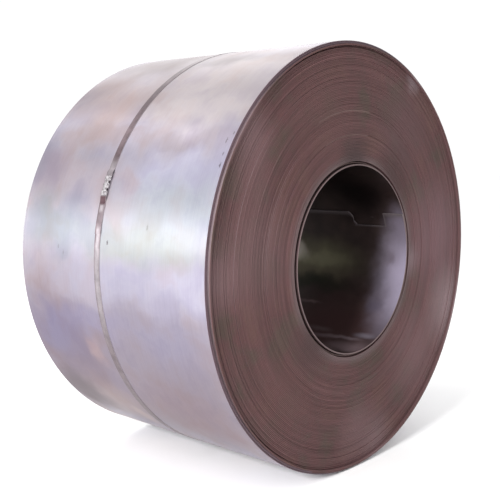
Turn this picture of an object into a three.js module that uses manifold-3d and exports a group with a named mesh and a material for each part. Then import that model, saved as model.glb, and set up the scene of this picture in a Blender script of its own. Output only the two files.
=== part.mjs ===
// A hot-rolled steel strip coil lying on its side, tied once round its girth by a steel strap.
// Millimetres, +Z up. The coil's axis runs along Y, its front end faces -Y, and the origin is on the
// ground under the middle of the coil. Angles are read on the front end, from +X towards +Z.
import * as THREE from 'three'
import { mergeVertices } from 'three/addons/utils/BufferGeometryUtils.js'
import Module from 'manifold-3d'

// Strip and winding
const STRIP_WIDTH = 1060
const STRIP_THICKNESS = 6
const TURNS = 81
const BORE_DIAMETER = 762
const FACETS = 100 // once round the coil
const FACET_ANGLE = 360 / FACETS
const TAIL_ANGLE = -19.8 // the strip's outer end, where the last turn stops: the coil lies on a facet
const HEAD_FACETS = 13 // from the tail to the head, so that both are at a facet's corner
const HEAD_ANGLE = TAIL_ANGLE + HEAD_FACETS * FACET_ANGLE // the strip's inner end, in the bore

// Levels of the turns on the two ends: a turn that has walked along the axis is proud of one end
// and sunk in the other by the same amount
const FACE_BANDS = 10
const BAND_WALK = 2.5
const BAND_RHYTHM = 2.4 // radians from one band's walk to the next in its slow wave
const SKIN_WRAPS = 1.7
const SKIN_WRAPS_WALK = 3
const PROUD_WRAPS = 1.5
const PROUD_WRAPS_WALK = -10
const OUTER_GAP_TURNS = 1.3
const OUTER_GAP_DEPTH = 9
const BORE_WRAPS = 1.5
const BORE_WRAPS_WALK = -3
const BORE_GAP_TURNS = 1
const BORE_GAP_DEPTH = 10

// The notch that the mandrel's grip left in the strip's inner end
const HEAD_NOTCH_START = 102
const HEAD_NOTCH_MOUTH = 200
const HEAD_NOTCH_BOTTOM = 148
const HEAD_NOTCH_ANGLE = 9.4

// Strap and its seal
const STRAP_WIDTH = 32
const STRAP_THICKNESS = 1
const STRAP_OFFSET = 570 // from the front end to the middle of the strap
const SEAL_ANGLE = 159.2
const SEAL_LENGTH = 76
const SEAL_SHEET = 1.2
const SEAL_FLANGE = 10
const SEAL_CORNER = 1.2
const SEAL_CORNER_STEPS = 2
const NOTCH_SPACING = 30
const NOTCH_LENGTH = 12
const NOTCH_DEPTH = 6
const UNDER_END = 10 // strap end that shows beyond the seal, under the other layer
const OVER_TAIL = 150 // strap end that lies on the strap beyond the seal
const STRAP_LEAD = 6 // straight strap past each end of the seal
const BRIDGE_ANGLE = 5.7 // stretch in which the taut strap spans the step at the strip's tail
const LANDING_ANGLE = 1 // least turn between the end of the straight run and where the strap lands
const CLEARANCE = 0.3

const OUTER_RADIUS = BORE_DIAMETER / 2 + TURNS * STRIP_THICKNESS
const BORE_RADIUS = BORE_DIAMETER / 2
const FRONT = -STRIP_WIDTH / 2
const CUT_MARGIN = 5 // how far a cutting or trimming solid runs past what it cuts
const STRAP_Y = FRONT + STRAP_OFFSET
const LAYER_LIFT = STRAP_THICKNESS + CLEARANCE

const wasm = await Module()
wasm.setup()

const radians = THREE.MathUtils.degToRad

/** How far round from one angle to another, in whole turns from 0 to 1. */
function turnFraction(from, to) {
  return THREE.MathUtils.euclideanModulo(to - from, 360) / 360
}

/** The point of the front view at an angle and a radius. */
function polar(angle, radius) {
  return new THREE.Vector2(radius * Math.cos(radians(angle)), radius * Math.sin(radians(angle)))
}

/** The coil's outer radius: the spiral grows by one strip thickness a turn, up to its tail. */
function outerRadiusAt(angle) {
  return OUTER_RADIUS - STRIP_THICKNESS * turnFraction(TAIL_ANGLE, angle)
}

/** The bore's radius: the first turn starts at the head and winds outwards the same way. */
function boreRadiusAt(angle) {
  return BORE_RADIUS + STRIP_THICKNESS * turnFraction(angle, HEAD_ANGLE)
}

/** The angles of the facets' corners, once round from the tail. */
function cornerAngles() {
  return Array.from({ length: FACETS }, (_, i) => TAIL_ANGLE + i * FACET_ANGLE)
}

function isAt(angle, other) {
  const apart = turnFraction(other, angle) * 360
  return Math.min(apart, 360 - apart) < FACET_ANGLE / 10
}

/** Only shared corners are left, as a closed solid needs. */
function shell(geometry) {
  const bare = geometry.clone()
  bare.deleteAttribute('normal')
  bare.deleteAttribute('uv')
  return mergeVertices(bare, 1e-4)
}

function toSolid(geometry) {
  const closed = shell(geometry)
  return new wasm.Manifold(
    new wasm.Mesh({
      numProp: 3,
      vertProperties: new Float32Array(closed.attributes.position.array),
      triVerts: new Uint32Array(closed.index.array)
    })
  )
}

function toGeometry(solid) {
  const mesh = solid.getMesh()
  const geometry = new THREE.BufferGeometry()
  geometry.setAttribute('position', new THREE.BufferAttribute(mesh.vertProperties, 3))
  geometry.setIndex(new THREE.BufferAttribute(mesh.triVerts, 1))
  geometry.computeVertexNormals()
  return geometry
}

/** An outline drawn on the front view, made a solid from one Y to another. */
function extrudeAlongY(shape, start, end) {
  const geometry = new THREE.ExtrudeGeometry(shape, { depth: end - start, bevelEnabled: false })
  geometry.rotateX(Math.PI / 2)
  geometry.translate(0, end, 0)
  return geometry
}

/** The groups of turns from the bore outwards: how many turns, their walk, how deep a slack gap is. */
function turnGroups() {
  const inner = [
    { turns: BORE_WRAPS, walk: BORE_WRAPS_WALK, depth: 0 },
    { turns: BORE_GAP_TURNS, walk: 0, depth: BORE_GAP_DEPTH }
  ]
  const outer = [
    { turns: OUTER_GAP_TURNS, walk: 0, depth: OUTER_GAP_DEPTH },
    { turns: PROUD_WRAPS, walk: PROUD_WRAPS_WALK, depth: 0 },
    { turns: SKIN_WRAPS, walk: SKIN_WRAPS_WALK, depth: 0 }
  ]
  const taken = [...inner, ...outer].reduce((sum, group) => sum + group.turns, 0)
  const bandTurns = (TURNS - taken) / FACE_BANDS
  const bands = Array.from({ length: FACE_BANDS }, (_, i) => ({
    turns: bandTurns,
    walk: BAND_WALK * Math.sin((i + 1) * BAND_RHYTHM),
    depth: 0
  }))
  return [...inner, ...bands, ...outer]
}

/** The turned form: a closed section through the wall, with the levels of its turns on both ends. */
function turnedBody() {
  const groups = turnGroups()
  const front = []
  const back = []
  let radius = BORE_RADIUS
  groups.forEach((group, i) => {
    const isFirst = i === 0
    const isLast = i === groups.length - 1
    const inside = isFirst ? radius - CUT_MARGIN : radius
    radius += group.turns * STRIP_THICKNESS
    const outside = isLast ? radius + CUT_MARGIN : radius
    const frontLevel = FRONT + group.walk + group.depth
    const backLevel = -FRONT + group.walk - group.depth
    front.push(new THREE.Vector2(inside, frontLevel), new THREE.Vector2(outside, frontLevel))
    back.push(new THREE.Vector2(inside, backLevel), new THREE.Vector2(outside, backLevel))
  })
  const section = [...front, ...back.reverse(), front[0].clone()]
  return new THREE.LatheGeometry(section, FACETS, radians(90 - TAIL_ANGLE))
}

/** A spiral's outline, once round, with the step where its turn ends. */
function spiralOutline(radiusAt, stepAngle, stepRise) {
  return cornerAngles().flatMap(angle => {
    const corner = polar(angle, radiusAt(angle))
    if (!isAt(angle, stepAngle)) return [corner]
    return stepRise(corner, angle)
  })
}

/** The strip's wound outline: the outer spiral with its tail, and the bore with the strip's head. */
function woundOutline() {
  const tail = (_, angle) => [
    polar(angle, OUTER_RADIUS - STRIP_THICKNESS),
    polar(angle, OUTER_RADIUS)
  ]
  const head = (_, angle) => [
    polar(angle, BORE_RADIUS),
    polar(angle, BORE_RADIUS + STRIP_THICKNESS)
  ]
  const outline = new THREE.Shape(spiralOutline(outerRadiusAt, TAIL_ANGLE, tail))
  outline.holes.push(new THREE.Path(spiralOutline(boreRadiusAt, HEAD_ANGLE, head)))
  return outline
}

/** The solid space of the notch: the first turn's own thickness, back from the strip's inner end. */
function headNotch() {
  const openAngle = HEAD_ANGLE + FACET_ANGLE
  const endAngle = HEAD_ANGLE - HEAD_NOTCH_ANGLE
  const steps = Math.floor(HEAD_NOTCH_ANGLE / FACET_ANGLE)
  const corners = Array.from({ length: steps + 1 }, (_, i) => HEAD_ANGLE - i * FACET_ANGLE)
  const angles = [...corners, endAngle]
  const far = angles.map(angle => polar(angle, boreRadiusAt(angle) + STRIP_THICKNESS))
  const near = [openAngle, ...angles].map(angle => polar(angle, BORE_RADIUS - CUT_MARGIN))
  const shape = new THREE.Shape([...near, ...far.reverse(), polar(openAngle, BORE_RADIUS)])
  const start = FRONT + HEAD_NOTCH_START
  const slot = toSolid(extrudeAlongY(shape, start, start + 2 * HEAD_NOTCH_MOUTH))
  return slot.intersect(toSolid(leaningSide(endAngle)))
}

/** What the notch's far side leaves open: it leans outwards from the notch's bottom to its mouth. */
function leaningSide(endAngle) {
  const mouth = polar(HEAD_ANGLE, BORE_RADIUS)
  const bottom = polar(endAngle, BORE_RADIUS)
  const start = FRONT + HEAD_NOTCH_START
  const lean = (HEAD_NOTCH_MOUTH - HEAD_NOTCH_BOTTOM) / (mouth.y - bottom.y)
  const reach = 8 * CUT_MARGIN
  const side = new THREE.Shape([
    new THREE.Vector2(start - CUT_MARGIN, bottom.y - reach),
    new THREE.Vector2(start + HEAD_NOTCH_BOTTOM - lean * reach, bottom.y - reach),
    new THREE.Vector2(start + HEAD_NOTCH_MOUTH + lean * reach, mouth.y + reach),
    new THREE.Vector2(start - CUT_MARGIN, mouth.y + reach)
  ])
  const geometry = new THREE.ExtrudeGeometry(side, { depth: 2 * BORE_RADIUS, bevelEnabled: false })
  const along = new THREE.Vector3(0, 1, 0)
  const up = new THREE.Vector3(0, 0, 1)
  const across = new THREE.Vector3(1, 0, 0)
  return geometry.applyMatrix4(new THREE.Matrix4().makeBasis(along, up, across))
}

function coil() {
  const past = BAND_WALK + OUTER_GAP_DEPTH + Math.abs(PROUD_WRAPS_WALK) + CUT_MARGIN
  const wound = toSolid(extrudeAlongY(woundOutline(), FRONT - past, -FRONT + past))
  return toGeometry(toSolid(turnedBody()).intersect(wound).subtract(headNotch()))
}

/** A point of the seal's straight run: so far along it, downwards, and so far from the coil's axis. */
function runPoint(along, height) {
  const out = polar(SEAL_ANGLE, 1)
  const down = polar(SEAL_ANGLE + 90, 1)
  return out.multiplyScalar(height).addScaledVector(down, along)
}

/** The strap's inner line, from the end under the seal once round the coil to the end over it. */
function strapLine() {
  const runHalf = SEAL_LENGTH / 2 + STRAP_LEAD
  const underHeight = outerRadiusAt(SEAL_ANGLE) + CLEARANCE + SEAL_SHEET + CLEARANCE
  const overHeight = underHeight + LAYER_LIFT
  const underStart = -(SEAL_LENGTH / 2 + UNDER_END)
  const overStart = underStart - STRAP_LEAD
  const runAngle = along => THREE.MathUtils.radToDeg(Math.atan(along / underHeight))
  const firstAngle = SEAL_ANGLE + runAngle(runHalf) + LANDING_ANGLE
  const lastAngle = SEAL_ANGLE + runAngle(overStart) - LANDING_ANGLE + 360
  const tipAngle = SEAL_ANGLE + runAngle(SEAL_LENGTH / 2 + OVER_TAIL)
  const isBridged = angle => {
    const before = turnFraction(angle, TAIL_ANGLE) * 360
    return before > FACET_ANGLE / 10 && before < BRIDGE_ANGLE
  }
  const turn = cornerAngles().flatMap(angle => [angle, angle + 360])
    .filter(angle => angle > firstAngle && angle < lastAngle && !isBridged(angle))
    .sort((a, b) => a - b)
    .map(angle => polar(angle, outerRadiusAt(angle) + CLEARANCE))
  const tail = cornerAngles()
    .filter(angle => angle > firstAngle && angle < tipAngle)
    .concat(tipAngle)
    .map(angle => polar(angle, outerRadiusAt(angle) + CLEARANCE + LAYER_LIFT))
  return [
    runPoint(underStart, underHeight),
    runPoint(runHalf, underHeight),
    ...turn,
    runPoint(overStart, overHeight),
    runPoint(runHalf, overHeight),
    ...tail
  ]
}

/** A line moved to its outer side by a distance, with its corners mitred. */
function offsetLine(points, distance) {
  const normals = points.slice(1).map((point, i) => {
    const along = point.clone().sub(points[i]).normalize()
    return new THREE.Vector2(along.y, -along.x)
  })
  return points.map((point, i) => {
    const before = normals[Math.max(i - 1, 0)]
    const after = normals[Math.min(i, normals.length - 1)]
    const mitre = before.clone().add(after).normalize()
    return point.clone().addScaledVector(mitre, distance / mitre.dot(after))
  })
}

/** The frame of the seal: across the strap, out from the coil, and along the strap. */
function placeOnSeal(geometry) {
  const out = polar(SEAL_ANGLE, 1)
  const across = new THREE.Vector3(0, 1, 0)
  const outward = new THREE.Vector3(out.x, 0, out.y)
  const along = across.clone().cross(outward)
  const frame = new THREE.Matrix4().makeBasis(across, outward, along)
  const foot = outward.clone().multiplyScalar(outerRadiusAt(SEAL_ANGLE))
  foot.y = STRAP_Y
  frame.setPosition(foot)
  return geometry.applyMatrix4(frame)
}

/** The wedges that the notching tool cut into both edges of the seal and of the straps in it. */
function notchCutters() {
  const reach = STRAP_WIDTH / 2 + SEAL_SHEET + CLEARANCE + CUT_MARGIN
  const height = SEAL_SHEET * 2 + STRAP_THICKNESS * 2 + CLEARANCE * 5
  const tip = STRAP_WIDTH / 2 - NOTCH_DEPTH
  const slope = NOTCH_LENGTH / 2 / (STRAP_WIDTH / 2 + CLEARANCE + SEAL_SHEET - tip)
  const halfMouth = slope * (reach - tip)
  return [-1, 1].flatMap(side => [-1, 1].map(end => {
    const wedge = new THREE.Shape()
    wedge.moveTo(side * tip, 0)
    wedge.lineTo(side * reach, halfMouth)
    wedge.lineTo(side * reach, -halfMouth)
    wedge.closePath()
    const depth = height + 2 * CUT_MARGIN
    const geometry = new THREE.ExtrudeGeometry(wedge, { depth, bevelEnabled: false })
    geometry.rotateX(-Math.PI / 2)
    geometry.translate(0, -CUT_MARGIN, end * NOTCH_SPACING / 2)
    return toSolid(placeOnSeal(geometry))
  }))
}

function cutNotches(geometry) {
  return toGeometry(notchCutters().reduce((solid, cutter) => solid.subtract(cutter), toSolid(geometry)))
}

/** One band: its two ends lap in the seal, and the outer one's tail lies on the strap below. */
function strap() {
  const inner = strapLine()
  const outer = offsetLine(inner, STRAP_THICKNESS)
  const side = new THREE.Shape([...inner, ...outer.reverse()])
  const band = extrudeAlongY(side, STRAP_Y - STRAP_WIDTH / 2, STRAP_Y + STRAP_WIDTH / 2)
  return cutNotches(band)
}

/** A quarter-round corner of the seal's section, from one direction to the next. */
function sealCorner(x, y, startAngle) {
  return Array.from({ length: SEAL_CORNER_STEPS + 1 }, (_, i) => {
    const turn = polar(startAngle + 90 * i / SEAL_CORNER_STEPS, SEAL_CORNER)
    return turn.add(new THREE.Vector2(x, y))
  })
}

/** A folded steel sleeve: its flanges reach under the strap from both edges. */
function strapSeal() {
  const inside = STRAP_WIDTH / 2 + CLEARANCE
  const outside = inside + SEAL_SHEET
  const flangeEnd = STRAP_WIDTH / 2 - SEAL_FLANGE
  const bottom = CLEARANCE
  const flangeTop = bottom + SEAL_SHEET
  const ceiling = flangeTop + 2 * STRAP_THICKNESS + 3 * CLEARANCE
  const top = ceiling + SEAL_SHEET
  const section = new THREE.Shape([
    new THREE.Vector2(flangeEnd, bottom),
    ...sealCorner(outside - SEAL_CORNER, bottom + SEAL_CORNER, -90),
    ...sealCorner(outside - SEAL_CORNER, top - SEAL_CORNER, 0),
    ...sealCorner(SEAL_CORNER - outside, top - SEAL_CORNER, 90),
    ...sealCorner(SEAL_CORNER - outside, bottom + SEAL_CORNER, 180),
    new THREE.Vector2(-flangeEnd, bottom),
    new THREE.Vector2(-flangeEnd, flangeTop),
    new THREE.Vector2(-inside, flangeTop),
    new THREE.Vector2(-inside, ceiling),
    new THREE.Vector2(inside, ceiling),
    new THREE.Vector2(inside, flangeTop),
    new THREE.Vector2(flangeEnd, flangeTop)
  ])
  const sleeve = new THREE.ExtrudeGeometry(section, { depth: SEAL_LENGTH, bevelEnabled: false })
  sleeve.translate(0, 0, -SEAL_LENGTH / 2)
  return cutNotches(placeOnSeal(sleeve))
}

function piece(name, geometry, color, roughness, metalness) {
  const material = new THREE.MeshStandardMaterial({ color, roughness, metalness })
  const mesh = new THREE.Mesh(geometry, material)
  mesh.name = name
  return mesh
}

const tiedCoil = new THREE.Group()
tiedCoil.add(
  piece('coil', coil(), 0x9c9199, 0.45, 0.7),
  piece('strap', strap(), 0x6f5a60, 0.4, 0.8),
  piece('strap_seal', strapSeal(), 0xc4c2c4, 0.35, 0.9)
)
// the strap under the coil is what the coil lies on
tiedCoil.position.z = -new THREE.Box3().setFromObject(tiedCoil).min.z
export default tiedCoil
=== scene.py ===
"""A hot-rolled steel coil lying on its side, tied with one sealed strap. Metres, +Z up.

The coil's axis runs along Y and its front end faces -Y. Angles are read on the front end, from +X
towards +Z, and the strip winds clockwise from its head in the bore to its tail outside.
"""
import math

import bmesh
import bpy
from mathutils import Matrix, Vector, noise


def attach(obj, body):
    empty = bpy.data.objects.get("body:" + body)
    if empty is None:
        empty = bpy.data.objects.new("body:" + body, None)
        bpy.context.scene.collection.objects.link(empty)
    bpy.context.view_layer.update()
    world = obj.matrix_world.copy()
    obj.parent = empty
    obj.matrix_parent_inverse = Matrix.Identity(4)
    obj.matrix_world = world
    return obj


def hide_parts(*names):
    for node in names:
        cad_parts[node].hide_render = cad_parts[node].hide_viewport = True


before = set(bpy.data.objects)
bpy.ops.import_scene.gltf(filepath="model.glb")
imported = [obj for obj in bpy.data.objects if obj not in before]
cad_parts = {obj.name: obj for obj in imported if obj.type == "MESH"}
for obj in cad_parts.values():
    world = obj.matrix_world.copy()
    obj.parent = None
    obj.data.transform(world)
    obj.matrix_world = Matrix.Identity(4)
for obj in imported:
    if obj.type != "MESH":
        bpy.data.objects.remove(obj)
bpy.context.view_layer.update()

MM = 0.001
NEAR = 1e-6  # within this, two places are the same
SAME_ROW = 1e-3  # the same along a straight piece, in turns or steps
FACING = 0.9  # a face looks the way in which its normal has at least this share
WIDE_FACING = 0.99  # the same for the strip's wide sides, which the mill edges meet

# Winding: the CAD part's, but with the loose head standing a little inside its bore
AXIS_HEIGHT = 863.4 * MM
STRIP_WIDTH = 1060 * MM
FRONT = -STRIP_WIDTH / 2
BORE_RADIUS = 375.5 * MM
OUTER_RADIUS = 867 * MM
TAIL_ANGLE = -19.8
HEAD_ANGLE = 26.3
TURNS = 80 + (HEAD_ANGLE - TAIL_ANGLE) / 360

# Strip: a little thinner than its pitch, so that air and scale stay between the turns
STRIP_THICKNESS = 5.8 * MM
MILL_EDGE = 0.9 * MM  # the round of a rolled edge
STEPS_PER_TURN = 96
FINE_TURNS = 1.04  # at each end of the strip, the turns that show their wide side
FINE_CUTS = 2  # extra cuts in each step there
OUTER_COLUMNS = 48
BORE_COLUMNS = 24
SCALE_FACES, EDGE_FACES, LINING_FACES = 0, 1, 2  # its material slots
CUT_INSIDE = 20 * MM  # a steep face this far in from the strip's edges is a sheared one

# Slack between turns: (turn where it opens, how wide it is)
WIDE_SLACKS = ((1.0, 3.2 * MM), (2.05, 2.6 * MM), (TURNS - 4.2, 1.0 * MM))
SLACK_RUN = 0.3  # turns in which a gap opens
LOOSE_TURNS = 14
LOOSE_SLACK = 0.22 * MM
LOOSE_STRAY = 0.8  # how far they stray from an even spacing, in spacings

# Random waves: steps through the noise, and the line through it that each wave takes
LOOSE_WAVE = (1.37, 0.5, 0.2)
SLOW_WAVE = (0.13, 4.2, 1.7)
QUICK_WAVE = (0.83, 9.1, 5.3)

# Walk along the axis: groups of turns that moved together (first turn, last turn, walk), and the
# uneven walk of the rest
FIRST_TURN = (-1, 1.1, -3 * MM)
BORE_GROOVE = (1.1, 2.1, 9 * MM)
OUTER_GROOVE = (TURNS - 3.70, TURNS - 3.2, 6 * MM)
PROUD_TURNS = (TURNS - 3.2, TURNS - 1.7, -10 * MM)
SKIN_TURN = (TURNS - 1.7, TURNS + 1, 0)
WALKED_GROUPS = (FIRST_TURN, BORE_GROOVE, OUTER_GROOVE, PROUD_TURNS, SKIN_TURN)
WALK_RUN = 0.2  # turns in which a group's walk comes and goes
SLOW_WALK = 5.0 * MM  # height of the slow wave of the rest, and of the quick one on it
QUICK_WALK = 2.2 * MM

# Notch that the mandrel's grip left in the strip's head: its far side leans
NOTCH_START = 102 * MM
NOTCH_BOTTOM_END = 250 * MM
NOTCH_MOUTH_END = 302 * MM
NOTCH_LENGTH = 9.4 / 360  # turns
NOTCH_STEPS = 3

# Buckles in the skin of the coil: they only go inwards, so the strap clears them
BUCKLE_DEPTH = 0.9 * MM
BUCKLE_LENGTH = 260 * MM
BUCKLE_END = 0.05  # turns in which they fade out, before the strip covers itself
BUCKLE_RIM = 60 * MM  # width in which they fade out, at the strip's edges and beside the strap
BUCKLE_HELD = 0.8  # share that the strap presses flat

# Strap and seal
FIT = 0.3 * MM  # from piece to piece
STRAP_WIDTH = 32 * MM
STRAP_THICKNESS = 1 * MM
STRAP_Y = FRONT + 570 * MM  # its middle
STRAP_ROUND = 0.25 * MM
STRAP_STEP = 1.25  # degrees
LAP_STEP = 0.3  # where it lies over itself
STRAP_COLUMNS = 8
STRAP_GAP = 0.15 * MM  # from the skin to the strap that lies on it
SLIT_SIDE = 0.1 * MM  # how far in from its sides the slit metal shows
SMOOTH_EDGE = 0.97  # cosine of the most that a smoothly shaded edge turns
SEAL_ANGLE = 159.2
SEAL_LENGTH = 76 * MM
SEAL_SHEET = 1.2 * MM
SEAL_FLANGE = 10 * MM
SEAL_BEND = 1.2 * MM
SEAL_STEPS = 32  # steps of the strap inside the seal
SEAL_ROWS = 40  # steps of the seal itself
SEAL_ROUND = 0.25 * MM
SEAL_SHARP = 50  # degrees: sharper corners of the sheet are rounded
SEAL_MOUTH = 1 * MM  # the very ends of the seal, where the strap isn't crimped
CROWN_START = 3 * MM  # height at which the seal's sides become its crown
CROWN_RUN = 1.5 * MM
CROWN_POINTS = (0.72, 0.48, 0.24, 0)  # shares of the seal's half width
SEAL_SWELL = 0.25  # how much of a bite's depth comes out as a swelling on the crown
SWELL_START = 4 * MM  # from the strap's middle
SWELL_RUN = 6 * MM
SEAL_FLARE = 0.5 * MM  # how far the crown's ends open
FLARE_START = 0.46 * SEAL_LENGTH  # from the seal's middle
FLARE_RUN = 0.04 * SEAL_LENGTH
SIDE_SHADE_START = STRAP_WIDTH / 2 + FIT - 3 * MM  # from the strap's middle to the seal's painted side shade
SIDE_SHADE_RUN = 2 * MM
CRIMP_SPACING = 30 * MM
CRIMP_LENGTH = 13 * MM
CRIMP_DEPTH = 5 * MM
CRIMP_PEAK = 1.4  # over 1, so that a bite has a flat bottom
CRIMP_SLOPE = 2.2  # how fast it falls off, in bite lengths from its middle
CRIMP_FIT = 0.5 * MM  # how much longer the bites in the strap are, so that it clears the seal
UNDER_END = 10 * MM  # of the strap's under end, past the seal
OVER_TAIL = 150 * MM  # of its free end, past the seal
TIP_LIFT = 0.6 * MM  # how far the strap's free end springs up
STRAP_LEAD = 6 * MM  # straight on past each end of the seal
BRIDGE_ANGLE = 5.7  # degrees in which the strap comes up over the strip's tail
LANDING_ANGLE = 1  # degrees in which it comes down from the seal to the skin
TAIL_LEAD = 0.02  # degrees from the tail's end to the strap's bend over it

# How dark the strap is painted, a painted shade where it mirrors dark surroundings. A row: angle
# where the dark starts, degrees in which it comes, angle where it ends, degrees in which it goes,
# strength
NEVER = 361  # an end past every angle
STRAP_PAINTED_SHADE = (
    (92, 10, 152.8, 1, 0.82),  # from the top down to the seal: painted shade
    (152, 1, 157, 1, 0.2),
    (182, 24, NEVER, 1, 0.62),  # below the seal, towards the ground: painted shade
)
DARK_LAP_BLOCK = (161.7, 0.4, 164.3, 0.4)  # a dark block just under the seal
DARKER_LAP_STRETCH = (165.3, 1, 170.5, 1.5)
LAP_DARKENING = 0.45
LAP_TONE = 0.15

# How dark its edges are painted, a painted shade: the same columns
DARK_RIM = (
    (162, 1, 178, 6, 0.5),
    (182, 24, NEVER, 1, 0.35),
)
RIM_LEAST = 0.4
RIM_BACK = 0.9  # share of that on the back edge and on the front edge
RIM_FRONT = 0.5
RIM_START = 0.4  # where the dark edge starts and how wide its ramp is, in half widths
RIM_RUN = 0.25

# Camera
CAMERA_PLACE = (-2.792, -2.471, 1.281)
CAMERA_LENS = 60.57  # millimetres, on the sensor below
CAMERA_SENSOR = 36
CAMERA_DIP = 6.37  # degrees below level
CAMERA_TURN = -47.94  # degrees from +Y, where minus is towards +X

# Studio: sky, floor, and lights as name, place, what they aim at, width and height, watts
SKY_STRENGTH = 1.04
FLOOR_RADIUS = 60
FLOOR_SIDES = 96
BEHIND = (-0.3, 0, 0.9)
LIGHTS = (
    ("back_left_box", (-4.7, 4.4, 1.6), BEHIND, (3.0, 1.2), 75),
    ("back_right_box", (2.9, 4.4, 4.5), BEHIND, (4.0, 2.5), 62),
    ("back_top_box", (-2.0, 4.4, 5.3), BEHIND, (1.5, 1.0), 26),
    ("left_front_box", (-4.9, -1.42, 2.3), (0.36, -0.50, 0.75), (1.0, 1.0), 300),
)


def smooth(x):
    """A ramp from 0 to 1 with soft ends."""
    x = min(max(x, 0), 1)
    return x * x * (3 - 2 * x)


def within(x, start, rise, end, fall):
    """1 between two places and 0 outside them, with soft ends."""
    return smooth((x - start) / rise) * smooth((end - x) / fall)


def wave(place, line):
    """A soft random wave between about -1 and 1, along one line through the noise."""
    step, *across = line
    return noise.noise(Vector((place * step, *across)))


def polar(angle, radius):
    """A point of the front view, in the X-Z plane, from the coil's axis."""
    turned = math.radians(angle)
    return Vector((radius * math.cos(turned), 0, radius * math.sin(turned)))


# ---------------------------------------------------------------- winding

def loose_places():
    """The turns at which small gaps open, spread unevenly through the coil."""
    return [
        TURNS * (i + 0.5 + LOOSE_STRAY * wave(i, LOOSE_WAVE)) / LOOSE_TURNS
        for i in range(LOOSE_TURNS)
    ]


LOOSE_PLACES = loose_places()


def opened(turn, place, width):
    """How far one gap has opened at a place in the winding."""
    return width * smooth((turn - place) / SLACK_RUN)


def slack_at(turn):
    """All the air under a place in the winding."""
    big = sum(opened(turn, *gap) for gap in WIDE_SLACKS)
    small = sum(opened(turn, place, LOOSE_SLACK) for place in LOOSE_PLACES)
    return big + small


EVEN_SLACK = (
    OUTER_RADIUS - BORE_RADIUS - STRIP_THICKNESS * (TURNS + 1) - slack_at(TURNS)
) / TURNS


def inner_radius(turn):
    """From the coil's axis to the strip's inner side."""
    return BORE_RADIUS + (STRIP_THICKNESS + EVEN_SLACK) * turn + slack_at(turn)


def length_at(turn):
    """How far along the strip a place in the winding is."""
    return turn * math.tau * (BORE_RADIUS + inner_radius(turn)) / 2


def share_of(turn, first, last):
    """1 within a group of turns, 0 outside it."""
    return smooth((turn - first) / WALK_RUN + 0.5) - smooth((turn - last) / WALK_RUN + 0.5)


def walk_at(turn):
    """How far the strip has moved along the axis at a place in the winding."""
    slow = SLOW_WALK * wave(turn, SLOW_WAVE)
    quick = QUICK_WALK * wave(turn, QUICK_WAVE)
    shares = [(share_of(turn, first, last), walk) for first, last, walk in WALKED_GROUPS]
    settled = 1 - sum(share for share, _ in shares)
    return (slow + quick) * settled + sum(share * walk for share, walk in shares)


def outer_radius_at(angle):
    """The coil's outside at an angle."""
    back = ((angle - TAIL_ANGLE) % 360) / 360
    return inner_radius(TURNS - back) + STRIP_THICKNESS


def along_x(edge):
    """Does this edge of a straight piece run along it?"""
    return abs(edge.verts[0].co.x - edge.verts[1].co.x) > SAME_ROW


def plain_strip(bm):
    """The straight strip without its notch: turns along X, width along Y, thickness up."""
    bmesh.ops.create_cube(bm, size=1)
    start = NOTCH_LENGTH
    bmesh.ops.scale(bm, vec=(TURNS - start, STRIP_WIDTH, STRIP_THICKNESS), verts=bm.verts)
    bmesh.ops.translate(bm, vec=((TURNS + start) / 2, 0, STRIP_THICKNESS / 2), verts=bm.verts)
    bmesh.ops.bevel(
        bm, geom=[e for e in bm.edges if along_x(e)], offset=MILL_EDGE, offset_type="OFFSET",
        segments=1, profile=0.5, affect="EDGES", material=-1,
    )


def head_prongs(bm):
    """The strip's head runs on at both sides of its notch."""
    for y in (FRONT + NOTCH_START, FRONT + NOTCH_BOTTOM_END):
        cap = [f for f in bm.faces if f.normal.x < -FACING]
        edges = list({e for f in cap for e in f.edges})
        verts = list({v for f in cap for v in f.verts})
        bmesh.ops.bisect_plane(
            bm, geom=cap + edges + verts, plane_co=(0, y, 0), plane_no=(0, 1, 0), dist=NEAR / 10,
        )
    prongs = [
        f for f in bm.faces
        if f.normal.x < -FACING
        and not FRONT + NOTCH_START < f.calc_center_median().y < FRONT + NOTCH_BOTTOM_END
    ]
    lean = (NOTCH_MOUTH_END - NOTCH_BOTTOM_END) / NOTCH_STEPS
    for _ in range(NOTCH_STEPS):
        grown = bmesh.ops.extrude_discrete_faces(bm, faces=prongs)
        prongs = grown["faces"]
        verts = list({v for f in prongs for v in f.verts})
        bmesh.ops.translate(bm, vec=(-NOTCH_LENGTH / NOTCH_STEPS, 0, 0), verts=verts)
        side = min(v.co.y for v in verts if v.co.y > FRONT + NOTCH_BOTTOM_END - NEAR)
        leaning = [v for v in verts if abs(v.co.y - side) < NEAR]
        bmesh.ops.translate(bm, vec=(0, lean, 0), verts=leaning)


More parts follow.
